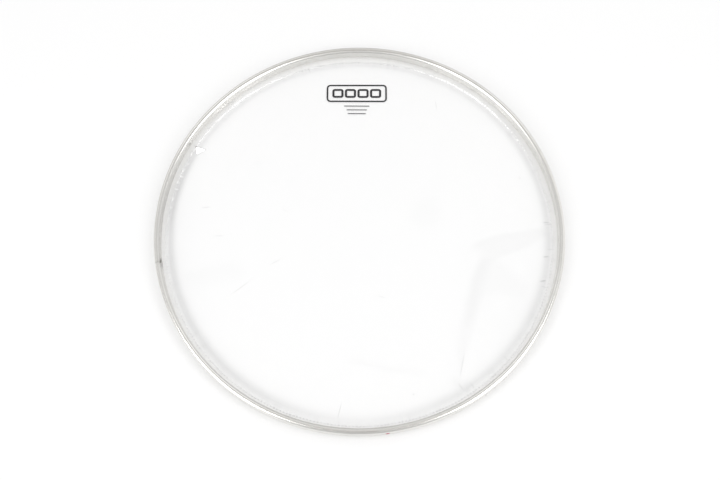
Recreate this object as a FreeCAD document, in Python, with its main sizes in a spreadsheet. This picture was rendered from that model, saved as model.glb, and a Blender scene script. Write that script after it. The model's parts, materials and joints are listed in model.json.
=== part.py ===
"""A clear snare-side drum head, lying on its film with the hoop up.

Three pieces make it: a U channel of aluminium strip, rolled into a hoop and butted at one seam; a thin
polyester film, formed into a shallow pan whose upright hem is punched with slots all round; and the resin
poured into the channel, which sets around the hem and through its slots, and so locks film and hoop together.

Millimetres, +Z up. The origin is the centre of the film's outer face, which is the face that it lies on.
The channel's mouth faces down, towards the film, and its closed web is on top.
"""

import math
import os

import FreeCAD
import Part
import Sketcher

# Every driving dimension: its name in the sheet, its value and what it measures.
DIMENSIONS = [
    ("hoop_outer_diameter", 370.0, "across the outside of the hoop"),
    ("hoop_width", 5.6, "across the channel, from outer wall to inner wall"),
    ("hoop_height", 11.0, "from the outer wall's end to the top of the web"),
    ("inner_wall_drop", 0.8, "by which the inner wall ends short of the outer wall"),
    ("strip_thickness", 0.9, "of the aluminium strip"),
    ("web_crown_radius", 5.5, "of the domed web, outside"),
    ("web_corner_radius", 1.4, "between the web and a wall, outside"),
    ("cavity_bevel", 0.5, "of the corners inside the channel"),
    ("seam_gap", 0.15, "between the butted ends of the strip, on the outside"),
    ("seam_angle", 190.0, "place of the seam round the hoop, degrees from +X"),
    ("film_thickness", 0.075, "of the polyester film"),
    ("film_rise", 4.0, "from the film's outer face to the outer wall's end"),
    ("collar_inset", 3.4, "from the hoop's inner wall to the fold between flat film and collar"),
    ("collar_reach", 0.5, "of the collar past the inner wall's end, up into the mouth"),
    ("hem_inset", 1.0, "from the inner wall's cavity face to the hem"),
    ("hem_headroom", 2.1, "from the hem's free edge to the cavity's ceiling"),
    ("slot_length", 8.0, "of a slot punched through the hem"),
    ("slot_height", 2.4, "of a slot"),
    ("slot_margin", 1.2, "from the hem's free edge to a slot"),
    ("slot_count", 24, "of slots round the hem"),
    ("resin_setback", 1.0, "of the resin's face inside the inner wall's end"),
    ("resin_shrinkage", 0.1, "by which the resin drew back from the strip as it set"),
    ("cut_overrun", 1.0, "by which a cut runs past the face that it opens"),
]


class Size:
    """A number with the sheet formula that gives it, so that a sketch starts where its formulas end."""

    def __init__(self, value, formula):
        self.value = value
        self.formula = formula

    def _with(self, other, value, sign):
        text = other.formula if isinstance(other, Size) else repr(other)
        return Size(value, f"({self.formula} {sign} {text})")

    def __add__(self, other):
        return self._with(other, self.value + number(other), "+")

    def __sub__(self, other):
        return self._with(other, self.value - number(other), "-")

    def __mul__(self, other):
        return self._with(other, self.value * number(other), "*")

    def __truediv__(self, other):
        return self._with(other, self.value / number(other), "/")


def number(size):
    """The value of a Size, or a plain number as it is."""
    return size.value if isinstance(size, Size) else size


def root(size):
    """The square root of a Size."""
    return Size(math.sqrt(size.value), f"sqrt({size.formula})")


# Degrees in one radian.
RADIAN = Size(math.degrees(1), "(180 / pi)")


class Section:
    """Radii and heights that the pieces share, worked out from the driving dimensions."""

    def __init__(self, d):
        self.outer = d["hoop_outer_diameter"] / 2
        self.inner = self.outer - d["hoop_width"]
        self.middle = self.outer - d["hoop_width"] / 2
        self.outer_end = d["film_rise"]
        self.inner_end = self.outer_end + d["inner_wall_drop"]
        self.top = self.outer_end + d["hoop_height"]
        self.ceiling = self.top - d["strip_thickness"]
        self.hem = self.inner + d["strip_thickness"] + d["hem_inset"]
        self.hem_end = self.ceiling - d["hem_headroom"]


def make_sheet(doc):
    """Fills the spreadsheet of driving dimensions, and gives them back as a dictionary of sizes."""
    sheet = doc.addObject("Spreadsheet::Sheet", "Dimensions")
    sizes = {}
    for row, (alias, value, note) in enumerate(DIMENSIONS, start=1):
        sheet.set(f"A{row}", alias.replace("_", " "))
        sheet.set(f"B{row}", str(value))
        sheet.set(f"C{row}", note)
        sheet.setAlias(f"B{row}", alias)
        sizes[alias] = Size(value, f"{sheet.Name}.{alias}")
    doc.recompute()
    return sizes


def origin_feature(body, role):
    """One of the body's own origin planes or axes."""
    return next(f for f in body.Origin.OriginFeatures if f.Role == role)


def new_body(doc, label):
    body = doc.addObject("PartDesign::Body", label)
    body.Label = label
    return body


def new_sketch(body, name, plane):
    sketch = body.newObject("Sketcher::SketchObject", name)
    sketch.AttachmentSupport = [(origin_feature(body, plane), "")]
    sketch.MapMode = "FlatFace"
    return sketch


def dimension(sketch, kind, *arguments):
    """A driving constraint whose last argument is a Size, bound to that size's formula."""
    *where, size = arguments
    index = sketch.addConstraint(Sketcher.Constraint(kind, *where, size.value))
    sketch.setExpression(f"Constraints[{index}]", size.formula)


def pin_corner(sketch, segment, end, x, y):
    """Fixes one end of a segment at x and y, each a Size, or zero for a place on an axis."""
    for kind, axis, size in (("DistanceX", -2, x), ("DistanceY", -1, y)):
        if number(size) == 0:
            sketch.addConstraint(Sketcher.Constraint("PointOnObject", segment, end, axis))
        else:
            dimension(sketch, kind, -1, 1, segment, end, size)


def left_turning_arc(start, end, radius):
    """A circular arc of less than half a turn, turning left on the way from start to end."""
    chord = end - start
    half = chord.Length / 2
    across = FreeCAD.Vector(-chord.y, chord.x, 0).normalize()
    centre = (start + end) / 2 + across * math.sqrt(max(radius**2 - half**2, 0))
    circle = Part.Circle(centre, FreeCAD.Vector(0, 0, 1), radius)
    return Part.ArcOfCircle(circle, circle.parameter(start), circle.parameter(end))


def draw_outline(sketch, corners):
    """Draws a closed outline. A corner is (x, y) after a straight side and (x, y, radius) after an arc."""
    points = [FreeCAD.Vector(number(c[0]), number(c[1]), 0) for c in corners]
    segments = []
    for place, corner in enumerate(corners):
        start, end = points[place - 1], points[place]
        if len(corner) == 2:
            side = Part.LineSegment(start, end)
        else:
            side = left_turning_arc(start, end, corner[2].value)
        segments.append(sketch.addGeometry(side, False))
    for place, (x, y, *radius) in enumerate(corners):
        segment = segments[place]
        following = segments[(place + 1) % len(segments)]
        sketch.addConstraint(Sketcher.Constraint("Coincident", segment, 2, following, 1))
        pin_corner(sketch, segment, 2, x, y)
        if radius:
            dimension(sketch, "Radius", segment, *radius)


def revolve(body, kind, name, sketch):
    """A full turn of a sketch about the vertical axis, added (Revolution) or taken away (Groove)."""
    feature = body.newObject(f"PartDesign::{kind}", name)
    feature.Profile = sketch
    feature.ReferenceAxis = (sketch, ["V_Axis"])
    feature.Angle = 360
    sketch.Visibility = False
    return feature


def strip_outline(section, d):
    """The outside of the channel, with a level end to each wall and a shallow arc for the web.

    A corner arc touches the crown arc where the line through both of their centres meets them.
    """
    crown, corner = d["web_crown_radius"], d["web_corner_radius"]
    across = d["hoop_width"] / 2 - corner
    apart = crown - corner
    up = root(apart * apart - across * across)
    crown_centre = section.top - crown
    shoulder = crown_centre + up
    reach = across * crown / apart
    touch = crown_centre + up * crown / apart
    return [
        (section.inner, section.inner_end),
        (section.middle, section.inner_end),
        (section.middle, section.outer_end),
        (section.outer, section.outer_end),
        (section.outer, shoulder),
        (section.middle + reach, touch, corner),
        (section.middle - reach, touch, crown),
        (section.inner, shoulder, corner),
    ]


def cavity_outline(section, d, inset, floor):
    """The bevelled inside of the channel, drawn inset from its outside and closed below by a level floor."""
    bevel = d["cavity_bevel"]
    left, right = section.inner + inset, section.outer - inset
    ceiling = section.top - inset
    return [
        (left, floor),
        (right, floor),
        (right, ceiling - bevel),
        (right - bevel, ceiling),
        (left + bevel, ceiling),
        (left, ceiling - bevel),
    ]


def make_hoop(doc, d, section):
    """The aluminium channel: the strip's domed outside, open at the butt seam, less the channel's cavity."""
    body = new_body(doc, "hoop_channel")
    outside = new_sketch(body, "strip_outside", "XZ_Plane")
    draw_outline(outside, strip_outline(section, d))
    strip = revolve(body, "Revolution", "rolled_strip", outside)
    seam_turn = d["seam_gap"] / section.outer * RADIAN
    strip.setExpression("Angle", f"360 - {seam_turn.formula}")
    doc.recompute()
    solid_volume = body.Shape.Volume

    inside = new_sketch(body, "channel_inside", "XZ_Plane")
    floor = section.outer_end - d["cut_overrun"]
    draw_outline(inside, cavity_outline(section, d, d["strip_thickness"], floor))
    revolve(body, "Groove", "channel_cavity", inside)
    doc.recompute()
    check_cut(body, solid_volume)

    turn = d["seam_angle"] + seam_turn / 2
    body.setExpression(".Placement.Rotation.Angle", turn.formula)
    return body


def make_film(doc, d, section):
    """The film: flat, collar and hem as one folded skin, with the ring of slots punched through the hem."""
    body = new_body(doc, "film")
    skin = d["film_thickness"]
    fold = section.inner - d["collar_inset"]
    collar_top = section.inner_end + d["collar_reach"]
    run = section.hem - fold
    slope = root(run * run + collar_top * collar_top)
    low_tuck = skin * (slope - run) / collar_top
    high_tuck = skin * (slope - collar_top) / run
    sketch = new_sketch(body, "film_section", "XZ_Plane")
    draw_outline(
        sketch,
        [
            (0, 0),
            (fold, 0),
            (section.hem, collar_top),
            (section.hem, section.hem_end),
            (section.hem - skin, section.hem_end),
            (section.hem - skin, collar_top + high_tuck),
            (fold - low_tuck, skin),
            (0, skin),
        ],
    )
    revolve(body, "Revolution", "formed_film", sketch)
    doc.recompute()
    plain_volume = body.Shape.Volume

    mark = new_sketch(body, "slot_mark", "YZ_Plane")
    mark.setExpression(".AttachmentOffset.Base.z", (section.hem - d["cut_overrun"]).formula)
    slot_top = section.hem_end - d["slot_margin"]
    slot_bottom = slot_top - d["slot_height"]
    slot_end = d["slot_length"]
    draw_outline(mark, [(0, slot_bottom), (slot_end, slot_bottom), (slot_end, slot_top), (0, slot_top)])
    punch = body.newObject("PartDesign::Pocket", "punched_slot")
    punch.Profile = mark
    punch.Reversed = True
    punch.setExpression("Length", (d["cut_overrun"] * 2).formula)
    mark.Visibility = False
    doc.recompute()
    check_cut(body, plain_volume)

    ring = body.newObject("PartDesign::PolarPattern", "slot_ring")
    ring.Originals = [punch]
    ring.Axis = (origin_feature(body, "Z_Axis"), [""])
    ring.Angle = 360
    ring.setExpression("Occurrences", d["slot_count"].formula)
    body.Tip = ring
    return body


def make_resin(doc, d, section, film):
    """The resin: the channel filled to its level, less the hem that it sets around."""
    fill = new_body(doc, "resin_fill")
    sketch = new_sketch(fill, "resin_section", "XZ_Plane")
    inset = d["strip_thickness"] + d["resin_shrinkage"]
    draw_outline(sketch, cavity_outline(section, d, inset, section.inner_end + d["resin_setback"]))
    revolve(fill, "Revolution", "poured_resin", sketch)
    resin = doc.addObject("Part::Cut", "potting_resin")
    resin.Label = "potting_resin"
    resin.Base = fill
    resin.Tool = film
    return resin


def check_cut(body, volume_before):
    """Stops the build if the body's last cut took nothing away."""
    if body.Shape.Volume >= volume_before:
        raise RuntimeError(f"the last cut in {body.Label} takes nothing away")


def check_model(doc, pieces):
    """Stops the build if any object failed to recompute or any piece isn't one valid solid."""
    for item in doc.Objects:
        if "Invalid" in item.State or "Error" in item.State:
            raise RuntimeError(f"{item.Label} failed: {item.State}")
    for piece in pieces:
        shape = piece.Shape
        if shape.isNull() or not shape.isValid() or len(shape.Solids) != 1:
            raise RuntimeError(f"{piece.Label} isn't one valid solid")
        print(f"{piece.Label}: {shape.Volume:.1f} mm3")


def main():
    doc = FreeCAD.newDocument("drum_head")
    sizes = make_sheet(doc)
    section = Section(sizes)
    hoop = make_hoop(doc, sizes, section)
    film = make_film(doc, sizes, section)
    resin = make_resin(doc, sizes, section, film)
    doc.recompute()
    pieces = [hoop, film, resin]
    check_model(doc, pieces)
    os.makedirs("parts", exist_ok=True)
    for piece in pieces:
        piece.Shape.exportStep(f"parts/{piece.Label}.step")


main()
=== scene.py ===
"""A clear snare-side drum head on a pale table, film down and hoop up.

Everything is in metres in the part's own frame: +Z up, +Y away from the camera, and the origin
at the centre of the film's outer face. The hoop and the film are swept again at a finer step
than the solids, so that bright metal and thin film reflect smoothly. Their sections follow those
of the solids, with round edges and folds, and with a web that leans a little towards the axis.
The film also gets its slack, creases and puckered collar, and the print on its outer face. Its
hem, which the channel hides, is left without slots.
"""

import json
import math

import bpy
import numpy as np
from mathutils import Matrix, Vector


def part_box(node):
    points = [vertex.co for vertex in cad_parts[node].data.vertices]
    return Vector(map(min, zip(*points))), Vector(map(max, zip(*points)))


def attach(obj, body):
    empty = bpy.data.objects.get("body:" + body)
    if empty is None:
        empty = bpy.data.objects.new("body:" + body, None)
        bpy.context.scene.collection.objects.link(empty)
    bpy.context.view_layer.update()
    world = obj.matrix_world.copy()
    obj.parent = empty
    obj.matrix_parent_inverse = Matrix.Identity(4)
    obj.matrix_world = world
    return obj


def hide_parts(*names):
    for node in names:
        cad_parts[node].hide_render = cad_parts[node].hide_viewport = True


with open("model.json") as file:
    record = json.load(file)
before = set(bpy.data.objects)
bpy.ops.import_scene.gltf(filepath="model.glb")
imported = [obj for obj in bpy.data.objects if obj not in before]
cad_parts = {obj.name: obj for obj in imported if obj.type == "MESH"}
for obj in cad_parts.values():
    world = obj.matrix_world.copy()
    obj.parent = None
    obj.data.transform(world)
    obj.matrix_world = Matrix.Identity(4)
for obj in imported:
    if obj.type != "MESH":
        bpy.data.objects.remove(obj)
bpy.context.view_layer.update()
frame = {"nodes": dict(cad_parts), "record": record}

MM = 0.001

# Sizes from the frame.
MOUNTS = {mount["name"]: mount for mount in frame["record"]["mounts"]}
OUTER_RADIUS = MOUNTS["counter_hoop_fit"]["dims"]["r_mm"] * MM
INNER_RADIUS = MOUNTS["shell_bore"]["dims"]["r_mm"] * MM
OUTER_END = MOUNTS["counter_hoop_seat"]["pos_m"][2]
HOOP_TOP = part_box("hoop_channel")[1][2]
HEM_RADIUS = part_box("film")[1][0]
HEM_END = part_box("film")[1][2]

# Sizes of the sections that the frame doesn't name.
STRIP = 0.9 * MM
INNER_END = OUTER_END + 0.8 * MM
CROWN_RADIUS = 5.5 * MM
CORNER_RADIUS = 1.4 * MM
WEB_LEAN = math.tan(math.radians(7.0))
CAVITY_RADIUS = 0.5 * MM
EDGE_RADIUS = 0.18 * MM
SEAM_ANGLE = math.radians(190.0)
SEAM_GAP = 0.08 * MM
FILM_SKIN = 0.075 * MM
FOLD_RADIUS = INNER_RADIUS - 3.4 * MM
COLLAR_TOP = INNER_END + 0.5 * MM
FOLD_BEND = 1.8 * MM
HEM_BEND = 0.6 * MM

# Steps round the hoop and round the film, the longest step along the hoop's section, the rings of
# the film's flat and the radius of its first one.
HOOP_STEPS = 900
FILM_STEPS = 512
HOOP_SECTION_STEP = 1.2 * MM
FLAT_RINGS = 74
FIRST_RING = 1.5 * MM

# Points of a line that lie closer than this count as one.
SAME_PLACE = 1e-7


# Meshes

def grid_faces(rows, columns, wrap_rows=False, wrap_columns=False):
    """Quads between the neighbours of a grid of points that are numbered row by row."""
    row, column = np.meshgrid(
        np.arange(rows if wrap_rows else rows - 1),
        np.arange(columns if wrap_columns else columns - 1),
        indexing="ij",
    )
    below, beside = (row + 1) % rows, (column + 1) % columns
    corners = [
        row * columns + column,
        below * columns + column,
        below * columns + beside,
        row * columns + beside,
    ]
    return np.stack(corners, axis=-1).reshape(-1, 4)


def add_piece(name, points, faces, material, marks=None):
    """A smooth mesh at the origin that rides on the part's one body.

    Each mark is an attribute with one number or one vector per point.
    """
    mesh = bpy.data.meshes.new(name)
    mesh.from_pydata(points.tolist(), [], faces)
    mesh.polygons.foreach_set("use_smooth", np.ones(len(mesh.polygons), dtype=bool))
    for mark, values in (marks or {}).items():
        kind, field = ("FLOAT", "value") if values.ndim == 1 else ("FLOAT_VECTOR", "vector")
        layer = mesh.attributes.new(mark, kind, "POINT")
        layer.data.foreach_set(field, values.astype(np.float32).ravel())
    mesh.materials.append(material)
    piece = bpy.data.objects.new(name, mesh)
    bpy.context.collection.objects.link(piece)
    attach(piece, "root")
    return piece


def arc(radius_at, height_at, radius, start, end, steps):
    """Points of a circular arc in the section's plane, from start to end in degrees."""
    turn = np.radians(np.linspace(start, end, steps))
    across, up = radius_at + radius * np.cos(turn), height_at + radius * np.sin(turn)
    return np.stack([across, up], axis=1)


def with_even_steps(points, longest):
    """The same line of points with more of them on its straight stretches, and its length at each.

    No two neighbours are further apart than longest.
    """
    length = np.concatenate([[0], np.cumsum(np.hypot(*np.diff(points, axis=0).T))])
    count = math.ceil(length[-1] / longest)
    at = np.union1d(length, np.linspace(0, length[-1], count + 1))
    at = at[np.concatenate([[True], np.diff(at) > SAME_PLACE])]
    across, up = np.interp(at, length, points[:, 0]), np.interp(at, length, points[:, 1])
    return np.stack([across, up], axis=1), at


def bell(value, middle, spread):
    """One at the middle value, falling off on both sides as a bell does."""
    return np.exp(-(((value - middle) / spread) ** 2))


def around(turn, stretches):
    """The sum, at each angle in degrees, of stretches: each has an angle, a spread and a depth."""
    depth = np.zeros_like(turn)
    for angle, spread, most in stretches:
        apart = (turn - angle + 180) % 360 - 180
        depth += most * bell(apart, 0, spread)
    return depth


# Material nodes

def grey(level):
    """A colour of one level."""
    return (level, level, level, 1.0)


class Nodes:
    """Short ways to add and join the nodes of one material or world."""

    def __init__(self, tree):
        self.tree = tree
        tree.nodes.clear()

    def add(self, kind, _settings=None, **inputs):
        """A node with its settings and its inputs by name."""
        node = self.tree.nodes.new(kind)
        for name, value in (_settings or {}).items():
            setattr(node, name, value)
        for name, value in inputs.items():
            self.put(node.inputs[name.replace("_", " ")], value)
        return node

    def put(self, socket, value):
        """Links a socket to an input, or sets the input to a number, vector or colour."""
        if isinstance(value, bpy.types.NodeSocket):
            self.tree.links.new(value, socket)
        else:
            socket.default_value = value

    def attribute(self, name, output="Fac"):
        """A mark of the mesh."""
        return self.add("ShaderNodeAttribute", {"attribute_name": name}).outputs[output]

    def math(self, operation, first, second=0.0, clamp=False):
        """A sum, product or other operation on two numbers."""
        node = self.add("ShaderNodeMath", {"operation": operation, "use_clamp": clamp})
        self.put(node.inputs[0], first)
        self.put(node.inputs[1], second)
        return node.outputs[0]

    def noise(self, vector, scale, detail=2.0, roughness=0.5):
        """Cloudy noise from zero to one."""
        node = self.add("ShaderNodeTexNoise", Vector=vector, Scale=scale)
        self.put(node.inputs["Detail"], detail)
        self.put(node.inputs["Roughness"], roughness)
        return node.outputs["Fac"]

    def ramp(self, value, low, high, to_low=0.0, to_high=1.0):
        """A smooth step: value from low to high becomes to_low to to_high, and stays there outside."""
        node = self.add("ShaderNodeMapRange", {"interpolation_type": "SMOOTHSTEP"}, Value=value)
        self.put(node.inputs["From Min"], low)
        self.put(node.inputs["From Max"], high)
        self.put(node.inputs["To Min"], to_low)
        self.put(node.inputs["To Max"], to_high)
        return node.outputs["Result"]

    def mix_colour(self, share, first, second):
        """The first colour, with a share of the second."""
        node = self.add("ShaderNodeMix", {"data_type": "RGBA"})
        self.put(node.inputs[0], share)
        self.put(node.inputs[6], first)
        self.put(node.inputs[7], second)
        return node.outputs[2]

    def mix_shader(self, share, first, second):
        """The first shader, with a share of the second."""
        node = self.add("ShaderNodeMixShader")
        self.put(node.inputs[0], share)
        self.put(node.inputs[1], first)
        self.put(node.inputs[2], second)
        return node.outputs[0]

    def scaled(self, vector, scale):
        """A vector with each axis scaled."""
        return self.add("ShaderNodeMapping", Vector=vector, Scale=scale).outputs["Vector"]

    def along(self, vector, way, start):
        """How far a place lies from a start along a way."""
        from_start = self.add("ShaderNodeVectorMath", {"operation": "SUBTRACT"})
        self.put(from_start.inputs[0], vector)
        self.put(from_start.inputs[1], start)
        node = self.add("ShaderNodeVectorMath", {"operation": "DOT_PRODUCT"})
        self.put(node.inputs[0], from_start.outputs["Vector"])
        self.put(node.inputs[1], way)
        return node.outputs["Value"]

    def near(self, vector, point, reach, core=0.0):
        """One inside core of a point and zero past reach, with a smooth edge between."""
        node = self.add("ShaderNodeVectorMath", {"operation": "DISTANCE"})
        self.put(node.inputs[0], vector)
        self.put(node.inputs[1], point)
        return self.ramp(node.outputs["Value"], core, reach, 1.0, 0.0)


def new_material(name):
    """An empty material and its nodes."""
    material = bpy.data.materials.new(name)
    material.use_nodes = True
    return material, Nodes(material.node_tree)


# The hoop

CLEAN_METAL = (0.91, 0.90, 0.87, 1.0)
DULL_METAL = (0.82, 0.815, 0.78, 1.0)
DARK_LINES = (0.62, 0.61, 0.57, 1.0)
PAINTED_SHADE_METAL = (0.64, 0.63, 0.61, 1.0)
SEAM_STAIN = (0.085, 0.078, 0.065, 1.0)
RED_INK = (0.50, 0.003, 0.08, 1.0)
RED_DOT = (24.2 * MM, -183.4 * MM, 8.0 * MM)
RED_DOT_REACH = 2.1 * MM
# Stretches of painted shade on the hoop's inner half and on its outer half, a darker metal colour
# that stands in for dull reflections: angle and spread in degrees, and depth. The whole inner wall
# has a little painted shade too.
INNER_PAINTED_SHADE = [(0, 22, 0.35), (90, 20, 0.35), (180, 22, 0.9)]
OUTER_PAINTED_SHADE = [(270, 20, 0.6)]
WALL_PAINTED_SHADE = 0.15
# Roll waves of the hoop: height, count round the hoop, and phase.
ROLL_WAVES = [(0.09 * MM, 7, 0.0), (0.05 * MM, 23, 1.0)]


def bare_aluminium():
    """Bright rolled strip: fine lines along it, dull places, stretches of painted shade, a stain and a
    red dot.
    """
    material, n = new_material("bare_aluminium")
    place = n.add("ShaderNodeTexCoord").outputs["Object"]
    strip = n.attribute("along_strip", "Vector")

    lines = n.noise(n.scaled(strip, (9.0, 2600.0, 1.0)), 1.0, detail=3.0, roughness=0.65)
    broad_lines = n.noise(n.scaled(strip, (3.0, 420.0, 1.0)), 1.0)
    patches = n.noise(place, 38.0, detail=3.0, roughness=0.6)
    smudges = n.noise(place, 160.0)

    colour = n.mix_colour(n.ramp(patches, 0.42, 0.75, 0.0, 0.75), CLEAN_METAL, DULL_METAL)
    colour = n.mix_colour(n.ramp(broad_lines, 0.55, 0.8, 0.0, 0.35), colour, DARK_LINES)
    # Painted shade: darker metal in stretches and on the inner wall, standing in for dull reflections.
    colour = n.mix_colour(n.attribute("hoop_painted_shade"), colour, PAINTED_SHADE_METAL)
    stained = n.math("MULTIPLY", n.attribute("seam_stain"), n.ramp(smudges, 0.25, 0.6), clamp=True)
    colour = n.mix_colour(stained, colour, SEAM_STAIN)
    dot = n.near(place, RED_DOT, RED_DOT_REACH, RED_DOT_REACH * 0.7)
    colour = n.mix_colour(dot, colour, RED_INK)
    cover = n.math("MAXIMUM", n.math("MULTIPLY", stained, 0.8), dot)

    rough = n.ramp(patches, 0.3, 0.8, 0.13, 0.2)
    rough = n.math("ADD", rough, n.math("MULTIPLY", lines, 0.06))
    rough = n.math("ADD", rough, n.math("MULTIPLY", cover, 0.3), clamp=True)
    bump = n.add("ShaderNodeBump", Strength=0.12, Distance=0.04 * MM, Height=lines)
    shader = n.add("ShaderNodeBsdfPrincipled", Base_Color=colour, Roughness=rough)
    n.put(shader.inputs["Normal"], bump.outputs["Normal"])
    n.put(shader.inputs["Metallic"], n.math("SUBTRACT", 1.0, cover))
    sheen = n.math("SUBTRACT", 0.5, n.math("MULTIPLY", dot, 0.5))
    n.put(shader.inputs["Specular IOR Level"], sheen)
    n.add("ShaderNodeOutputMaterial", Surface=shader.outputs["BSDF"])
    return material


def channel_section():
    """The channel's closed section: outside, inner wall's end, cavity and outer wall's end.

    All edges are arcs. The web's outside leans towards the axis: it lies lower in step with its
    distance from the outer wall.
    """
    half = (OUTER_RADIUS - INNER_RADIUS) / 2
    middle = INNER_RADIUS + half
    across = half - CORNER_RADIUS
    apart = CROWN_RADIUS - CORNER_RADIUS
    lean = math.degrees(math.asin(across / apart))
    crown_centre = HOOP_TOP - CROWN_RADIUS
    shoulder = crown_centre + math.sqrt(apart**2 - across**2)
    ceiling = HOOP_TOP - STRIP
    cavity_inner, cavity_outer = INNER_RADIUS + STRIP, OUTER_RADIUS - STRIP
    outer_foot, inner_foot = OUTER_END + EDGE_RADIUS, INNER_END + EDGE_RADIUS
    cavity_top = ceiling - CAVITY_RADIUS
    web = [
        arc(OUTER_RADIUS - CORNER_RADIUS, shoulder, CORNER_RADIUS, 0, 90 - lean, 12),
        arc(middle, crown_centre, CROWN_RADIUS, 90 - lean, 90 + lean, 15)[1:-1],
        arc(INNER_RADIUS + CORNER_RADIUS, shoulder, CORNER_RADIUS, 90 + lean, 180, 12),
    ]
    for run in web:
        run[:, 1] -= WEB_LEAN * (OUTER_RADIUS - run[:, 0])
    runs = [
        arc(OUTER_RADIUS - EDGE_RADIUS, outer_foot, EDGE_RADIUS, -90, 0, 5),
        *web,
        arc(INNER_RADIUS + EDGE_RADIUS, inner_foot, EDGE_RADIUS, 180, 270, 5),
        arc(cavity_inner - EDGE_RADIUS, inner_foot, EDGE_RADIUS, 270, 360, 5),
        arc(cavity_inner + CAVITY_RADIUS, cavity_top, CAVITY_RADIUS, 180, 90, 4),
        arc(cavity_outer - CAVITY_RADIUS, cavity_top, CAVITY_RADIUS, 90, 0, 4),
        arc(cavity_outer + EDGE_RADIUS, outer_foot, EDGE_RADIUS, 180, 270, 5),
    ]
    return with_even_steps(np.concatenate(runs), HOOP_SECTION_STEP)


def hoop_marks(section, along, from_seam, turn):
    """The hoop's marks at each angle and point of the section.

    They are the place along the strip, the stain at the seam, which spreads more at the inner
    side, and the painted shade of the inner half, the outer half and the inner wall: a darker
    metal colour that stands in for dull reflections.
    """
    shape = (len(turn), len(section))
    strip = np.broadcast_arrays(turn[:, None] * OUTER_RADIUS, along[None, :], 0.0)
    to_seam = np.minimum(from_seam, 2 * math.pi - from_seam) * OUTER_RADIUS
    inward = np.clip((OUTER_RADIUS - section[:, 0]) / (OUTER_RADIUS - INNER_RADIUS), 0, 1)
    spread = (0.3 + 4.0 * inward**2) * MM
    stain = bell(to_seam[:, None], 0, spread[None, :]) * (0.1 + 0.9 * inward**2)

    below_top = np.clip((HOOP_TOP - section[:, 1]) / (2.5 * MM), 0, 1)
    wall = np.clip((inward - 0.85) / 0.1, 0, 1) * below_top
    inner_half = np.clip((inward - 0.5) / 0.3, 0, 1)
    outer_half = np.clip((0.5 - inward) / 0.3, 0, 1)
    degrees = np.degrees(turn)[:, None]
    # Painted shade on the inner wall and in stretches of the inner and outer halves.
    hoop_painted_shade = np.broadcast_to(WALL_PAINTED_SHADE * wall, shape)
    hoop_painted_shade = hoop_painted_shade + inner_half * around(degrees, INNER_PAINTED_SHADE)
    hoop_painted_shade = hoop_painted_shade + outer_half * around(degrees, OUTER_PAINTED_SHADE)
    return {
        "along_strip": np.stack(strip, axis=-1).reshape(-1, 3),
        "seam_stain": stain.ravel(),
        "hoop_painted_shade": hoop_painted_shade.ravel(),
    }


def make_hoop():
    """The channel's section carried once round from one side of the seam to the other.

    A point is the section's radius, plus slight roll waves that are nil at the seam, turned to
    its angle. Each end has a flat cap with sharp edges.
    """
    section, along = channel_section()
    half_gap = SEAM_GAP / OUTER_RADIUS / 2
    turn = SEAM_ANGLE + np.linspace(half_gap, 2 * math.pi - half_gap, HOOP_STEPS)
    from_seam = turn - SEAM_ANGLE
    wave = sum(height * np.sin(from_seam * count + phase) for height, count, phase in ROLL_WAVES)
    wave = wave * np.sin(from_seam / 2) ** 2
    radius = section[None, :, 0] + wave[:, None]
    height = np.broadcast_to(section[None, :, 1], radius.shape)
    cosine, sine = np.cos(turn)[:, None], np.sin(turn)[:, None]
    points = np.stack([radius * cosine, radius * sine, height], axis=-1)

    rows, columns = radius.shape
    faces = grid_faces(rows, columns, wrap_columns=True).tolist()
    faces.append(list(range(columns - 1, -1, -1)))
    faces.append(list(range((rows - 1) * columns, rows * columns)))
    marks = hoop_marks(section, along, from_seam, turn)
    hoop = add_piece("hoop", points.reshape(-1, 3), faces, bare_aluminium(), marks)
    ends = np.empty(len(hoop.data.edges) * 2, dtype=int)
    hoop.data.edges.foreach_get("vertices", ends)
    at_row = ends.reshape(-1, 2) // columns
    on_cap = (at_row[:, 0] == at_row[:, 1]) & np.isin(at_row[:, 0], (0, rows - 1))
    sharp = hoop.data.attributes.new("sharp_edge", "BOOLEAN", "EDGE")
    sharp.data.foreach_set("value", on_cap)
    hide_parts("hoop_channel")
    return hoop


# The film: its tables of places are in millimetres

# Hairline scratches: place, angle in degrees, length and width.
SCRATCHES = [
    ((-141, 26), 8, 11, 1.0),
    ((-128, -2), 0, 11, 1.0),
    ((-76, -27), 28, 14, 0.9),
    ((-68, 23), -30, 7, 0.9),
    ((-106, -51), 38, 26, 0.9),
    ((73, 130), 95, 13, 1.0),
    ((-62, 52), 30, 6, 0.9),
    ((-95, 70), 60, 6, 0.9),
    ((20, -60), -15, 12, 0.9),
    ((-17, -162), 76, 19, 1.0),
    ((88, -141), -55, 9, 0.9),
    ((90, -122), 78, 26, 0.9),
]
# Darker ticks by the collar and specks, in the same way.
TICKS = [
    ((169, -22), 4, 7, 1.5),
    ((165, -45), 8, 7, 1.8),
    ((171, 11), 0, 7, 1.2),
    ((47, -148), 0, 1.6, 1.6),
    ((149, 55), 0, 1.6, 1.6),
]
# A three-cornered facet by the collar that was bent up and catches the light: its corners,
# counter-clockwise, the width of its soft edge, and its plane's rise for each metre along X and Y.
FACET = [(-154.5, 88.5), (-152.5, 78.5), (-143.5, 84.0)]
FACET_EDGE = 0.6
FACET_RISE = (0.136, 0.421, 0.0)
# Small beads where the film was pressed at the fold, round the whole of it.
BEADS_ROUND = 360
# Bands of painted shade where bent film turns the light away: line, reach to its left and to its
# right, and depth. Past its ends a band falls off over the last reach.
BANDS = [
    ([(-156, -41), (-134, -34), (-110, -33)], 4.0, 12.0, 0.06),
    ([(56, -131), (22, -126), (-6, -119)], 1.5, 4.0, 0.065),
    ([(95, -145), (82, -138)], 2.0, 6.0, 0.10),
]
BAND_END_REACH = 4
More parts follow.
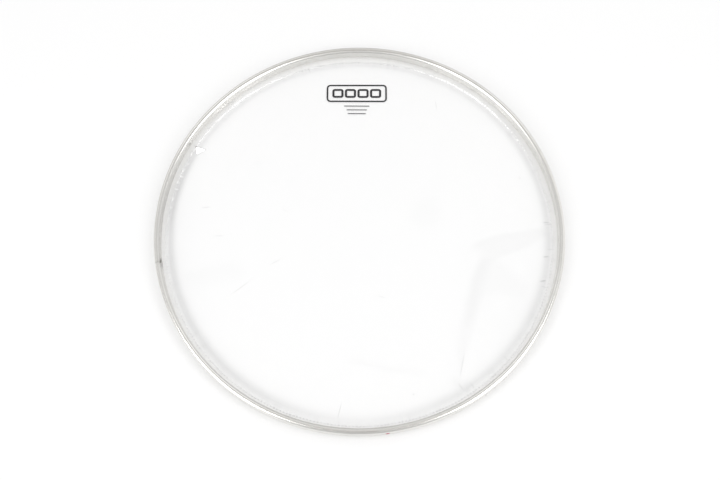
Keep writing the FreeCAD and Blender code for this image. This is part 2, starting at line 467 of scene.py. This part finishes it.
# Flat patches of painted shade between the creases at the right, where bent film turns the light
# away: corners, counter-clockwise, width of the soft edge, and depth.
WEDGE = [
    (102, -12),
    (110, -27),
    (116.5, -27.5),
    (135.5, -20),
    (153, -13),
    (168.5, -2),
    (170.5, 6),
    (128, 0),
    (108, -7),
]
LONG_STRIP = [(88, -132), (122, -25), (110, -25), (99.5, -44), (88, -87), (85, -109)]
STRIP_CORE = [
    (94, -87),
    (101, -80),
    (116, -32),
    (115.5, -27),
    (108, -27),
    (103, -39.5),
    (95.5, -73),
]
SLANTED_STRIP = [(111, -58), (147, -62.5), (152.5, -50), (129, -27), (121, -25)]
PATCHES = [
    (WEDGE, 1.8, 0.095),
    (LONG_STRIP, 4.0, 0.08),
    (STRIP_CORE, 5.0, 0.08),
    (SLANTED_STRIP, 4.0, 0.055),
]
# The broad painted shade round the patches: place, spread along X and along Y, and depth.
BROAD_PAINTED_SHADE = ((128, -62), 34, 60, 0.04)
# The painted shade of one round dent: place, radius and depth.
DENT_PAINTED_SHADE = ((61, 21), 15, 0.06)
# Lines of points on the film where it was bent once, each with its ridge's height and half width,
# and the half width of the sharp crest that shows as a crease.
CREASES = [
    ([(170, 6), (138, -2), (103, -11)], 0.25, 7.0),
    ([(103, -11), (109, -27), (104, -44), (99, -62), (93, -99), (88, -130)], 0.2, 7.0),
]
CREST = 1.2
# Round dents: place, height and half width. The bright ones clear the painted shade by a share, which
# paints them lighter than the film round them.
BRIGHT_DENTS = [
    ((106, -19), 0.1, 4.5),
    ((147, -31), 0.2, 10.0),
    ((126, -67), 0.2, 10.0),
    ((109, -103), 0.2, 8.0),
]
DENTS = BRIGHT_DENTS + [((61, 21), 0.15, 16.0), ((149, 55), 0.25, 4.0)]
DENT_CLEARS = 0.9
# Pleats drawn in from the collar: angle in degrees, inner radius and height. Pale ones clear the
# painted shade, which paints facets that catch the light, and dark ones add lines of painted shade,
# each over a width.
PALE_PLEATS = [
    (156.5, 172.5, 0.06),
    (158.6, 173.5, 0.04),
    (161.0, 172.0, 0.06),
    (163.2, 173.5, 0.04),
    (165.4, 172.5, 0.06),
    (168.6, 173.5, 0.04),
    (171.5, 173.0, 0.06),
    (175.0, 173.5, 0.04),
]
DARK_PLEATS = [
    (305.0, 166.0, 0.05),
    (318.0, 169.0, 0.05),
    (343.0, 169.0, 0.05),
    (355.0, 170.0, 0.05),
    (3.0, 167.0, 0.05),
    (106.0, 170.0, 0.05),
]
PLEAT_HALF_WIDTH = 2.4
PALE_PLEAT_WIDTH = 2.4
DARK_PLEAT_WIDTH = 0.8
# The grey ring by the collar, a painted shadow of the hoop on the table: its radius, which grows
# with the way to the far side, its width outside that radius and inside it, where it is narrower at
# the far side, and its depth, which is less there. Stretches of angle, spread and depth make it
# deeper, or clear a share of it.
RING_RADIUS = 172.6
RING_FAR_GROWTH = 1.6
RING_OUTER_WIDTH = 2.0
RING_INNER_WIDTH = 4.2
RING_DEPTH = 0.52
RING_FAR_LOSS = 0.23
RING_DEEPER = [(25, 25, 0.1)]
RING_CLEARED = [(-90, 28, 0.75), (0, 18, 0.25), (-40, 25, 0.35)]
# The deeper painted shade between the pleats: angle, spread, radius, width and depth.
PLEAT_PAINTED_SHADE = (165, 13, 174.5, 3.5, 0.5)
# Slow waves of slack: height, turn for each millimetre along X and along Y, and phase. They die
# out towards the fold over a width.
SLACK_WAVES = [
    (0.16, 0.041, 0.028, 0.6),
    (0.12, -0.02, 0.055, 2.0),
    (0.09, 0.083, -0.051, 4.1),
    (0.06, 0.07, 0.11, 1.1),
]
SLACK_EDGE = 30
# Bumps round the collar, and scallops between them: their count round it, height and drop.
PUCKER_BUMPS = 150
SCALLOPS = 13
SCALLOP_HEIGHT = 0.35 * MM
SCALLOP_DROP = 0.18 * MM
# What the film lets through where it is clear and where painted shade and scratches dim it most,
# and the share of light that one face of it mirrors straight on.
FILM_CLEAR = grey(0.996)
FILM_SHADED_AND_SCRATCHED = grey(0.90)
FILM_GLOSS = 0.009


def drawn_marks(n, place, marks):
    """One on each of the small spindle-shaped marks of a list, and zero elsewhere."""
    drawn = 0.0
    for (at_x, at_y), angle, length, width in marks:
        flat = n.add("ShaderNodeMapping", {"vector_type": "TEXTURE"}, Vector=place)
        n.put(flat.inputs["Location"], (at_x * MM, at_y * MM, 0.0))
        n.put(flat.inputs["Rotation"], (0.0, 0.0, math.radians(angle)))
        n.put(flat.inputs["Scale"], (length / 2 * MM, width / 2 * MM, 1.0))
        spindle = n.near(flat.outputs["Vector"], (0.0, 0.0, 0.0), 1.0, 0.4)
        drawn = n.math("MAXIMUM", drawn, spindle)
    return drawn


def inside_corners(n, place, corners, edge):
    """One inside the corners of a list and zero outside, with a soft edge inside them."""
    inside = 1.0
    for (ax, ay), (bx, by) in zip(corners, corners[1:] + corners[:1]):
        length = math.hypot(bx - ax, by - ay)
        inward = ((ay - by) / length, (bx - ax) / length, 0.0)
        from_edge = n.along(place, inward, (ax * MM, ay * MM, 0.0))
        inside = n.math("MINIMUM", inside, n.ramp(from_edge, 0.0, edge * MM))
    return inside


def radial_marks(pleats, width):
    """Marks from the pleats' inner radii out to just past the fold."""
    outer = FOLD_RADIUS / MM + 2.5
    marks = []
    for angle, inner, _ in pleats:
        middle = (inner + outer) / 2
        turn = math.radians(angle)
        place = (middle * math.cos(turn), middle * math.sin(turn))
        marks.append((place, angle, outer - inner, width))
    return marks


def fold_beads(n, polar, turn, radius):
    """Where the film was pressed at the fold: a line that wanders a little, broken up into beads."""
    beads = n.math("SINE", n.math("MULTIPLY", turn, BEADS_ROUND))
    uneven = n.noise(n.scaled(polar, (14.0, 200.0, 1.0)), 1.0)
    beads = n.math("ADD", beads, n.math("MULTIPLY", uneven, 4.0))
    beads = n.ramp(beads, 1.7, 2.8, 0.05, 1.0)
    wander = n.noise(n.scaled(polar, (9.0, 0.0, 1.0)), 1.0, detail=1.0)
    line = n.math("ADD", n.math("MULTIPLY", wander, 1.6 * MM), FOLD_RADIUS - 0.8 * MM)
    off_line = n.math("ABSOLUTE", n.math("SUBTRACT", radius, line))
    return n.math("MULTIPLY", n.ramp(off_line, 0.25 * MM, 0.9 * MM, 1.0, 0.0), beads)


def film_dimming(n, place, polar):
    """How much the film is dimmed: by painted shade for its bends, which pale pleats clear, and by the
    drawn marks.
    """
    # Painted shade on the puckered collar, where its crinkles would turn the light away.
    puckered = n.noise(n.scaled(polar, (42.0, 55.0, 1.0)), 1.0, roughness=0.6)
    puckered = n.math("MULTIPLY", n.ramp(puckered, 0.5, 0.72), n.attribute("collar"))
    # Dark pleats are drawn as lines of painted shade, along with the scratches.
    hairlines = SCRATCHES + radial_marks(DARK_PLEATS, DARK_PLEAT_WIDTH)
    pale = drawn_marks(n, place, radial_marks(PALE_PLEATS, PALE_PLEAT_WIDTH))
    dim = n.math("MULTIPLY", n.attribute("shade"), n.math("SUBTRACT", 1.0, pale))
    dim = n.math("ADD", dim, n.math("MULTIPLY", drawn_marks(n, place, hairlines), 0.55))
    dim = n.math("ADD", dim, drawn_marks(n, place, TICKS))
    return n.math("ADD", dim, n.math("MULTIPLY", puckered, 0.14), clamp=True)


def film_normal(n, place, facet):
    """The film's fine ripples and crinkled collar, and the facet's tilt."""
    ripple = n.noise(place, 260.0)
    crinkle = n.noise(place, 520.0, detail=3.0, roughness=0.6)
    crinkle = n.math("MULTIPLY", crinkle, n.attribute("pucker"))
    height = n.math("ADD", n.math("MULTIPLY", ripple, 0.03), crinkle)
    fine = n.add("ShaderNodeBump", Strength=0.35, Distance=0.6 * MM, Height=height)
    middle = [sum(corner[axis] for corner in FACET) / len(FACET) * MM for axis in (0, 1)]
    bent_up = n.math("MULTIPLY", n.along(place, FACET_RISE, (*middle, 0.0)), facet)
    bump = n.add("ShaderNodeBump", Strength=1.0, Distance=1.0, Height=bent_up)
    n.put(bump.inputs["Normal"], fine.outputs["Normal"])
    return bump.outputs["Normal"]


def clear_film():
    """Clear polyester: seen through, with a thin gloss, a little haze, bends, painted shade and fine
    scratches.
    """
    material, n = new_material("clear_film")
    place = n.add("ShaderNodeTexCoord").outputs["Object"]
    crease = n.attribute("crease")
    axes = n.add("ShaderNodeSeparateXYZ", Vector=place).outputs
    turn = n.math("ARCTAN2", axes["Y"], axes["X"])
    length = n.add("ShaderNodeVectorMath", {"operation": "LENGTH"})
    n.put(length.inputs[0], place)
    radius = length.outputs["Value"]
    polar = n.add("ShaderNodeCombineXYZ", X=turn, Y=radius).outputs["Vector"]

    fold = fold_beads(n, polar, turn, radius)
    facet = inside_corners(n, place, FACET, FACET_EDGE)
    normal = film_normal(n, place, facet)
    haze = n.ramp(n.noise(place, 14.0, detail=3.0, roughness=0.6), 0.4, 0.8, 0.001, 0.006)
    haze = n.math("ADD", haze, n.math("MULTIPLY", crease, 0.002))

    # The see-through colour is dimmed by painted shade and by scratches and ticks.
    see_through = n.mix_colour(film_dimming(n, place, polar), FILM_CLEAR, FILM_SHADED_AND_SCRATCHED)
    clear = n.add("ShaderNodeBsdfTransparent", Color=see_through)
    gloss = n.add("ShaderNodeBsdfPrincipled", Base_Color=grey(1.0), Metallic=1.0, Roughness=0.05)
    n.put(gloss.inputs["Normal"], normal)
    milk = n.add("ShaderNodeBsdfPrincipled", Base_Color=grey(0.96), Roughness=0.4)
    grazing = n.add("ShaderNodeLayerWeight", Blend=0.5, Normal=normal).outputs["Facing"]
    mirrored = n.math("MULTIPLY", n.math("POWER", grazing, 5.0), 0.6)
    mirrored = n.math("ADD", mirrored, FILM_GLOSS)
    bent = n.math("ADD", n.math("MULTIPLY", fold, 0.42), n.math("MULTIPLY", crease, 0.003))
    bent = n.math("ADD", bent, n.math("MULTIPLY", facet, 0.6))
    mirrored = n.math("ADD", mirrored, bent, clamp=True)
    surface = n.mix_shader(mirrored, clear.outputs["BSDF"], gloss.outputs["BSDF"])
    surface = n.mix_shader(haze, surface, milk.outputs["BSDF"])
    n.add("ShaderNodeOutputMaterial", Surface=surface)
    return material


def along_segment(x, y, start, end):
    """Each place's share of the way along a segment, and its distance from the segment."""
    (ax, ay), (bx, by) = start, end
    way_x, way_y = bx - ax, by - ay
    along = ((x - ax) * way_x + (y - ay) * way_y) / (way_x**2 + way_y**2)
    held = np.clip(along, 0, 1)
    return along, np.hypot(x - ax - held * way_x, y - ay - held * way_y)


def left_of(x, y, start, end):
    """How far each place lies to the left of the line from start to end."""
    (ax, ay), (bx, by) = start, end
    across = (bx - ax) * (y - ay) - (by - ay) * (x - ax)
    return across / math.hypot(bx - ax, by - ay)


def ridge(x, y, line, height, half_width):
    """A ridge along a line of points: it falls off away from it as a tent with a round top does."""
    away = np.full(x.shape, np.inf)
    for start, end in zip(line, line[1:]):
        away = np.minimum(away, along_segment(x, y, start, end)[1])
    top = 0.4 * half_width
    return height * np.exp(-(np.sqrt(away**2 + top**2) - top) / half_width)


def inside_patch(x, y, corners, soft):
    """One well inside the edges between the corners, zero well outside, and even steps between."""
    depth = np.full(x.shape, np.inf)
    for start, end in zip(corners, corners[1:] + corners[:1]):
        depth = np.minimum(depth, left_of(x, y, start, end))
    return np.clip(depth / soft + 0.5, 0, 1)


def painted_shade_band(x, y, line, reach_left, reach_right):
    """One on a line of points, falling off over a reach on either side, and past its ends."""
    away = np.full(x.shape, np.inf)
    right = np.zeros(x.shape, dtype=bool)
    past_end = np.zeros_like(x)
    for start, end in zip(line, line[1:]):
        along, apart = along_segment(x, y, start, end)
        length = math.dist(start, end)
        if start == line[0]:
            past_end = np.maximum(past_end, -along * length)
        if end == line[-1]:
            past_end = np.maximum(past_end, (along - 1) * length)
        right = np.where(apart < away, left_of(x, y, start, end) < 0, right)
        away = np.minimum(apart, away)
    reach = np.where(right, reach_right, reach_left)
    return np.exp(-((away / reach) ** 3)) * bell(past_end, 0, BAND_END_REACH)


def collar_painted_shade(x, y):
    """How much painted shade dims the film by the collar: the ring, a painted shadow of the hoop, and
    the shade between the pleats.
    """
    radius = np.hypot(x, y)
    turn = np.degrees(np.arctan2(y, x))
    far = y / radius
    depth = RING_DEPTH - RING_FAR_LOSS * np.sqrt(np.maximum(far, 0)) + around(turn, RING_DEEPER)
    depth = depth * (1 - around(turn, RING_CLEARED))
    outside = radius - RING_RADIUS - RING_FAR_GROWTH * far
    width = np.where(outside > 0, RING_OUTER_WIDTH, RING_INNER_WIDTH - far)
    angle, spread, pleat_radius, pleat_width, pleat_depth = PLEAT_PAINTED_SHADE
    pleated = np.exp(-(((turn - angle) / spread) ** 4)) * bell(radius, pleat_radius, pleat_width)
    return depth * bell(outside, 0, width) + pleat_depth * pleated


def film_shade(x, y):
    """How much painted shade dims the film at each place: it stands in for light that bent film turns
    away and for the hoop's shadow on the table.

    The bands, the broad shade and the patches add up, bright dents clear a share of them, and the
    round dent's shade and the ring by the collar come on top.
    """
    x, y = x / MM, y / MM
    dim = np.zeros_like(x)
    for line, reach_left, reach_right, depth in BANDS:
        dim += depth * painted_shade_band(x, y, line, reach_left, reach_right)
    (at_x, at_y), spread_x, spread_y, depth = BROAD_PAINTED_SHADE
    dim += depth * bell(x, at_x, spread_x) * bell(y, at_y, spread_y)
    for corners, soft, depth in PATCHES:
        dim += depth * inside_patch(x, y, corners, soft)
    for (at_x, at_y), _, half_width in BRIGHT_DENTS:
        dim *= 1 - DENT_CLEARS * bell(np.hypot(x - at_x, y - at_y), 0, half_width)
    (at_x, at_y), reach, depth = DENT_PAINTED_SHADE
    dim += depth * np.exp(-((np.hypot(x - at_x, y - at_y) / reach) ** 6))
    return dim + collar_painted_shade(x, y)


def film_relief(x, y):
    """How far the film stands off its flat form, in metres, and how creased it is at each place.

    The relief is the sum of slow waves of slack, the creases, the round dents and the pleats.
    """
    x, y = x / MM, y / MM
    radius = np.hypot(x, y)
    relief = np.zeros_like(x)
    for height, along_x, along_y, phase in SLACK_WAVES:
        relief += height * (np.sin(along_x * x + along_y * y + phase) + 1)
    relief *= np.clip((FOLD_RADIUS / MM - radius) / SLACK_EDGE, 0, 1)
    creased = np.zeros_like(x)
    for line, height, half_width in CREASES:
        relief += ridge(x, y, line, height, half_width)
        creased = np.maximum(creased, ridge(x, y, line, 1.0, CREST))
    for (at_x, at_y), height, half_width in DENTS:
        relief += height * bell(np.hypot(x - at_x, y - at_y), 0, half_width)
    for angle, inner, height in PALE_PLEATS + DARK_PLEATS:
        out_x, out_y = math.cos(math.radians(angle)), math.sin(math.radians(angle))
        outer = FOLD_RADIUS / MM
        line = [(out_x * inner, out_y * inner), (out_x * outer, out_y * outer)]
        starts = np.clip((radius - inner + 6) / 10, 0, 1)
        relief += ridge(x, y, line, height, PLEAT_HALF_WIDTH) * starts
    return relief * MM, creased


def film_section():
    """The film's outer face from near the axis to the hem's end, and the way to its inner face."""
    run, rise = HEM_RADIUS - FOLD_RADIUS, COLLAR_TOP
    slope = math.degrees(math.atan2(rise, run))
    low_tuck = FOLD_BEND * math.tan(math.radians(slope) / 2)
    high_tuck = HEM_BEND * math.tan(math.radians(90 - slope) / 2)
    hem_start = COLLAR_TOP + high_tuck
    flat = np.linspace(FIRST_RING, FOLD_RADIUS - low_tuck, FLAT_RINGS)
    low = arc(FOLD_RADIUS - low_tuck, FOLD_BEND, FOLD_BEND, -90, slope - 90, 7)
    high = arc(HEM_RADIUS - HEM_BEND, hem_start, HEM_BEND, slope - 90, 0, 4)
    collar = low[-1] + (high[0] - low[-1]) * np.linspace(0, 1, 6)[1:-1, None]
    hem = np.stack([np.full(3, HEM_RADIUS), np.linspace(hem_start, HEM_END, 4)[1:]], axis=1)
    level = np.stack([flat, np.zeros_like(flat)], axis=1)
    line = np.concatenate([level, low[1:], collar, high, hem])
    step = np.gradient(line, axis=0)
    step /= np.hypot(step[:, 0], step[:, 1])[:, None]
    inside = np.stack([-step[:, 1], step[:, 0]], axis=1)
    inside[: len(flat)] = (0, 1)
    return line, inside


def collar_pucker(turn, line):
    """Small ripples round the collar, and how much of them each point of the section takes.

    They are many bumps of set places and sizes, and even scallops. Most is on the bend, and none
    inside the channel.
    """
    dice = np.random.default_rng(7)
    places = dice.uniform(0, 2 * math.pi, PUCKER_BUMPS)
    widths = np.radians(dice.uniform(0.7, 2.0, PUCKER_BUMPS))
    heights = dice.normal(0, 0.10, PUCKER_BUMPS) * MM
    apart = (turn[:, None] - places[None, :] + math.pi) % (2 * math.pi) - math.pi
    ripple = (heights * bell(apart, 0, widths)).sum(axis=1)
    scallop = np.abs(np.sin(turn * SCALLOPS + 0.8 * np.sin(turn * 3)))
    ripple += SCALLOP_HEIGHT * scallop - SCALLOP_DROP
    in_channel = line[:, 1] > COLLAR_TOP - 1.2 * MM
    weight = np.where(in_channel, 0.0, bell(line[:, 0], FOLD_RADIUS, 2.2 * MM))
    return ripple[:, None] * weight[None, :], weight


def make_film():
    """The film's section turned about the axis as a closed skin: outer face, free edge, inner face.

    Each point stands off the formed shape, along its way to the inner face, by the relief of the
    flat or the pucker of the collar. The inner face is the outer one moved by the film's
    thickness. A pole closes each face.
    """
    line, inside = film_section()
    turn = np.linspace(0, 2 * math.pi, FILM_STEPS, endpoint=False)
    cosine, sine = np.cos(turn)[:, None], np.sin(turn)[:, None]
    x, y = line[None, :, 0] * cosine, line[None, :, 0] * sine
    relief, creased = film_relief(x, y)
    fade = np.clip((FOLD_RADIUS + 2 * MM - line[:, 0]) / (4 * MM), 0, 1) ** 2
    pucker, weight = collar_pucker(turn, line)
    off = relief * fade[None, :] + pucker
    off = np.where(line[None, :, 1] < 0.3 * MM, np.maximum(off, 0), off)

    def face(rise):
        """One face of the film, at a rise from its outer face."""
        radius = line[None, :, 0] + inside[None, :, 0] * (off + rise)
        height = line[None, :, 1] + inside[None, :, 1] * (off + rise)
        return np.stack([radius * cosine, radius * sine, height], axis=-1)

    outer, inner = face(0.0), face(FILM_SKIN)
    rings = np.concatenate([outer, inner[:, ::-1]], axis=1)
    rows, columns = rings.shape[:2]
    poles = np.array([[0, 0, outer[:, 0, 2].mean()], [0, 0, inner[:, 0, 2].mean()]])
    points = np.concatenate([rings.reshape(-1, 3), poles])
    first = np.arange(rows) * columns
    after = np.roll(first, -1)
    last = columns - 1
    low_pole, high_pole = np.full(rows, rows * columns), np.full(rows, rows * columns + 1)
    faces = grid_faces(rows, columns, wrap_rows=True).tolist()
    faces += np.stack([low_pole, after, first], axis=1).tolist()
    faces += np.stack([high_pole, first + last, after + last], axis=1).tolist()

    def both(values):
        """A mark for the points of both faces and the poles."""
        values = np.broadcast_to(values, off.shape)
        return np.concatenate([np.concatenate([values, values[:, ::-1]], axis=1).ravel(), [0, 0]])

    marks = {
        "crease": both(creased * fade),
        "shade": both(film_shade(x, y)),
        "collar": both(np.clip((line[:, 0] - FOLD_RADIUS + 9 * MM) / (7 * MM), 0, 1)),
        "pucker": both(weight),
    }
    film = add_piece("clear_film", points, faces, clear_film(), marks)
    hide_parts("film")
    return film


# The print on the film's outer face

PRINT_AT = (-2.5 * MM, 143.0 * MM)
INK = 0.02 * MM
# The frame's width, height, corner radius and stroke, and the same of an open box in it.
PANEL = (56 * MM, 17 * MM, 3 * MM, 1.5 * MM)
OPEN_BOX = (8.6 * MM, 7.4 * MM, 1.4 * MM, 2.0 * MM)
OPEN_BOX_PLACES = (-18 * MM, -6 * MM, 6 * MM, 18 * MM)
# The rules below the frame: place and width, and the stroke and the steps of all.
RULES = [(-13.5 * MM, 24 * MM), (-17.5 * MM, 19 * MM), (-21.5 * MM, 17 * MM)]
RULE_STROKE = 0.8 * MM
RULE_STEPS = 24


def black_ink():
    """Screen-printed ink: near black, with the slight unevenness of a thin print."""
    material, n = new_material("black_ink")
    place = n.add("ShaderNodeTexCoord").outputs["Object"]
    thin = n.noise(place, 700.0)
    full, worn = (0.006, 0.006, 0.009, 1.0), (0.02, 0.019, 0.024, 1.0)
    shader = n.add("ShaderNodeBsdfPrincipled", Roughness=n.ramp(thin, 0.3, 0.7, 0.45, 0.6))
    n.put(shader.inputs["Base Color"], n.mix_colour(n.ramp(thin, 0.45, 0.8), full, worn))
    n.add("ShaderNodeOutputMaterial", Surface=shader.outputs["BSDF"])
    return material


def stroke(line, width, closed):
    """A flat stroke of ink along a line, on the film's relief.

    It has four points at each step, at both edges and both faces, joined all round.
    """
    ahead = np.roll(line, -1, axis=0) - np.roll(line, 1, axis=0)
    if not closed:
        ahead[0], ahead[-1] = line[1] - line[0], line[-1] - line[-2]
    ahead /= np.hypot(ahead[:, 0], ahead[:, 1])[:, None]
    side = np.stack([-ahead[:, 1], ahead[:, 0]], axis=1) * width / 2
    edges = np.stack([line + side, line - side], axis=1) + np.array(PRINT_AT)
    lift = film_relief(edges[..., 0], edges[..., 1])[0]
    top = np.concatenate([edges, lift[..., None] - INK * 0.1], axis=-1)
    bottom = np.concatenate([edges, lift[..., None] - INK * 1.1], axis=-1)
    ring = np.stack([top[:, 0], bottom[:, 0], bottom[:, 1], top[:, 1]], axis=1)
    rows = len(line)
    faces = grid_faces(rows, 4, wrap_rows=closed, wrap_columns=True).tolist()
    if not closed:
        faces += [[3, 2, 1, 0], list(range(rows * 4 - 4, rows * 4))]
    return ring.reshape(-1, 3), faces


def rounded_box(centre, width, height, corner):
    """The outline of a box with round corners, counter-clockwise."""
    half = np.array([width, height]) / 2 - corner
    runs = [
        arc(centre[0] + sx * half[0], centre[1] + sy * half[1], corner, start, start + 90, 8)
        for sx, sy, start in ((1, -1, -90), (1, 1, 0), (-1, 1, 90), (-1, -1, 180))
    ]
    return np.concatenate(runs)


def make_print():
    """A plain printed panel: a round-cornered frame with four open boxes, and three rules below."""
    strokes = [stroke(rounded_box((0, 0), *PANEL[:3]), PANEL[3], True)]
    for place in OPEN_BOX_PLACES:
        strokes.append(stroke(rounded_box((place, 0), *OPEN_BOX[:3]), OPEN_BOX[3], True))
    for place, width in RULES:
        across = np.linspace(-width / 2, width / 2, RULE_STEPS)
        rule = np.stack([across, np.full(RULE_STEPS, place)], axis=1)
        strokes.append(stroke(rule, RULE_STROKE, False))
    points, faces, count = [], [], 0
    for ring, quads in strokes:
        points.append(ring)
        faces += [[corner + count for corner in quad] for quad in quads]
        count += len(ring)
    mark = add_piece("printed_panel", np.concatenate(points), faces, black_ink())
    flat = np.zeros(len(mark.data.polygons), dtype=bool)
    mark.data.polygons.foreach_set("use_smooth", flat)
    return mark


# The resin, which keeps the solid's own shape

def set_resin():
    """Pale amber resin with cloudy patches and small pits."""
    material, n = new_material("set_resin")
    place = n.add("ShaderNodeTexCoord").outputs["Object"]
    cloud = n.noise(place, 55.0, detail=3.0, roughness=0.6)
    pits = n.noise(place, 900.0)
    amber, pale = (0.60, 0.54, 0.40, 1.0), (0.74, 0.69, 0.56, 1.0)
    bump = n.add("ShaderNodeBump", Strength=0.3, Distance=0.2 * MM, Height=pits)
    shader = n.add("ShaderNodeBsdfPrincipled", Roughness=n.ramp(cloud, 0.3, 0.7, 0.22, 0.4))
    n.put(shader.inputs["Base Color"], n.mix_colour(n.ramp(cloud, 0.3, 0.7), amber, pale))
    n.put(shader.inputs["Normal"], bump.outputs["Normal"])
    n.add("ShaderNodeOutputMaterial", Surface=shader.outputs["BSDF"])
    return material


def dress_resin():
    """Gives the resin's solid its material."""
    materials = frame["nodes"]["potting_resin"].data.materials
    materials.clear()
    materials.append(set_resin())


# The stage

FLOOR_DROP = 0.3 * MM
FLOOR_HALF = 12.0
FLOOR_EVEN_SHARE = 0.28


def pale_floor():
    """A white table that keeps its shadows.

    A share of it is even white where the camera or a reflection sees it.
    """
    material, n = new_material("pale_table")
    matt = n.add("ShaderNodeBsdfDiffuse", Color=grey(0.98))
    even = n.add("ShaderNodeEmission", Color=grey(1.0), Strength=1.0)
    path = n.add("ShaderNodeLightPath").outputs
    seen = n.math("MAXIMUM", path["Is Camera Ray"], path["Is Glossy Ray"])
    seen = n.math("MAXIMUM", seen, path["Is Transmission Ray"])
    share = n.math("MULTIPLY", seen, FLOOR_EVEN_SHARE)
    surface = n.mix_shader(share, matt.outputs["BSDF"], even.outputs["Emission"])
    n.add("ShaderNodeOutputMaterial", Surface=surface)
    return material


def make_floor():
    """A wide table top just below the film."""
    mesh = bpy.data.meshes.new("table")
    corners = [
        (-FLOOR_HALF, -FLOOR_HALF, -FLOOR_DROP),
        (FLOOR_HALF, -FLOOR_HALF, -FLOOR_DROP),
        (FLOOR_HALF, FLOOR_HALF, -FLOOR_DROP),
        (-FLOOR_HALF, FLOOR_HALF, -FLOOR_DROP),
    ]
    mesh.from_pydata(corners, [], [(0, 1, 2, 3)])
    mesh.materials.append(pale_floor())
    table = bpy.data.objects.new("table", mesh)
    bpy.context.collection.objects.link(table)


def look_at(place, target, up):
    """The matrix of a camera or lamp at a place that looks at a target, its upper side towards up."""
    back = (place - target).normalized()
    right = up.cross(back).normalized()
    rotation = Matrix((right, back.cross(right), back)).transposed()
    return Matrix.Translation(place) @ rotation.to_4x4()


# The camera: elevation, distance, width of the picture in pixels, length that a pixel covers at
# that distance, and how many pixels right and down of the picture's middle the film's centre lies.
CAMERA_ELEVATION = math.radians(70.3)
CAMERA_DISTANCE = 1.0
PICTURE_WIDTH = 720
METRES_PER_PIXEL = 0.9125 * MM
CENTRE_RIGHT = -0.65
CENTRE_DOWN = -6.0


def camera_back():
    """The direction from the head to the camera."""
    return Vector((0, -math.cos(CAMERA_ELEVATION), math.sin(CAMERA_ELEVATION)))


def make_camera():
    """A camera at the photograph's angle."""
    back = camera_back()
    right = Vector((1, 0, 0))
    up = back.cross(right)
    aim = (right * -CENTRE_RIGHT + up * CENTRE_DOWN) * METRES_PER_PIXEL
    data = bpy.data.cameras.new("camera")
    data.sensor_fit = "HORIZONTAL"
    data.lens = data.sensor_width * CAMERA_DISTANCE / (METRES_PER_PIXEL * PICTURE_WIDTH)
    camera = bpy.data.objects.new("camera", data)
    camera.matrix_world = look_at(aim + back * CAMERA_DISTANCE, aim, up)
    bpy.context.collection.objects.link(camera)
    bpy.context.scene.camera = camera


# Overhead softboxes, placed about the direction that the level film mirrors to the camera: the way
# that each lies from it, in degrees from +X, its angle from it, and its radiance.
OVERHEAD = [(231, 40, 2.25), (312, 39, 2.25)]
OVERHEAD_DISTANCE = 1.6
OVERHEAD_SIZE = (0.52, 1.6)

# Parts of the surroundings, placed in the same way: way, angle, reach, core and colour. First pale
# ones that the hoop's far and right sides mirror, then duller ones, then dark gaps in the ceiling
# beside the softboxes.
SKY_PATCHES = [
    (53, 18, 0.18, 0.09, grey(1.25)),
    (130, 18, 0.18, 0.09, grey(1.25)),
    (5, 32, 0.32, 0.12, grey(0.95)),
    (270, 14, 0.28, 0.08, (0.47, 0.45, 0.44, 1.0)),
    (90, 10, 0.22, 0.05, (0.60, 0.59, 0.58, 1.0)),
    (203, 13, 0.075, 0.015, (0.38, 0.38, 0.39, 1.0)),
    (199, 26, 0.075, 0.015, (0.38, 0.38, 0.39, 1.0)),
    (341, 13, 0.075, 0.015, (0.38, 0.38, 0.39, 1.0)),
    (344, 25, 0.075, 0.015, (0.38, 0.38, 0.39, 1.0)),
]


def mirror_direction():
    """The direction that the level film mirrors to the camera."""
    back = camera_back()
    return Vector((-back.x, -back.y, back.z))


def off_mirror(way, apart):
    """A direction that lies some degrees from the mirrored one, on a way in degrees from +X."""
    aside = Vector((math.cos(math.radians(way)), math.sin(math.radians(way)), 0))
    return (mirror_direction() + aside * math.tan(math.radians(apart))).normalized()


def make_lights():
    """The overhead softboxes: rectangular lamps that face the head, each longer away from it."""
    for count, (way, apart, radiance) in enumerate(OVERHEAD):
        direction = off_mirror(way, apart)
        data = bpy.data.lights.new(f"overhead_{count}", "AREA")
        data.shape = "RECTANGLE"
        data.size, data.size_y = OVERHEAD_SIZE
        data.energy = radiance * math.pi * data.size * data.size_y
        lamp = bpy.data.objects.new(data.name, data)
        aside = direction - mirror_direction()
        lamp.matrix_world = look_at(direction * OVERHEAD_DISTANCE, Vector((0, 0, 0)), aside)
        bpy.context.collection.objects.link(lamp)


def make_world():
    """Plain studio surroundings: pale at the horizon, grey walls, and a pale ceiling with patches."""
    world = bpy.data.worlds.new("studio")
    world.use_nodes = True
    n = Nodes(world.node_tree)
    direction = n.add("ShaderNodeTexCoord").outputs["Generated"]
    axes = n.add("ShaderNodeSeparateXYZ", Vector=direction).outputs
    aside = n.ramp(n.math("ABSOLUTE", axes["X"]), 0.35, 0.85)
    wall = n.mix_colour(aside, grey(0.57), grey(0.88))
    colour = n.mix_colour(n.ramp(axes["Z"], 0.0, 0.2), grey(0.74), wall)
    colour = n.mix_colour(n.ramp(axes["Z"], 0.45, 0.75), colour, grey(0.70))
    for way, apart, reach, core, patch in SKY_PATCHES:
        share = n.near(direction, off_mirror(way, apart), reach, core)
        colour = n.mix_colour(share, colour, patch)
    background = n.add("ShaderNodeBackground", Color=colour, Strength=1.0)
    n.add("ShaderNodeOutputWorld", Surface=background.outputs["Background"])
    bpy.context.scene.world = world


make_hoop()
make_film()
make_print()
dress_resin()
make_floor()
make_camera()
make_lights()
make_world()
bpy.context.scene.view_settings.view_transform = "Standard"
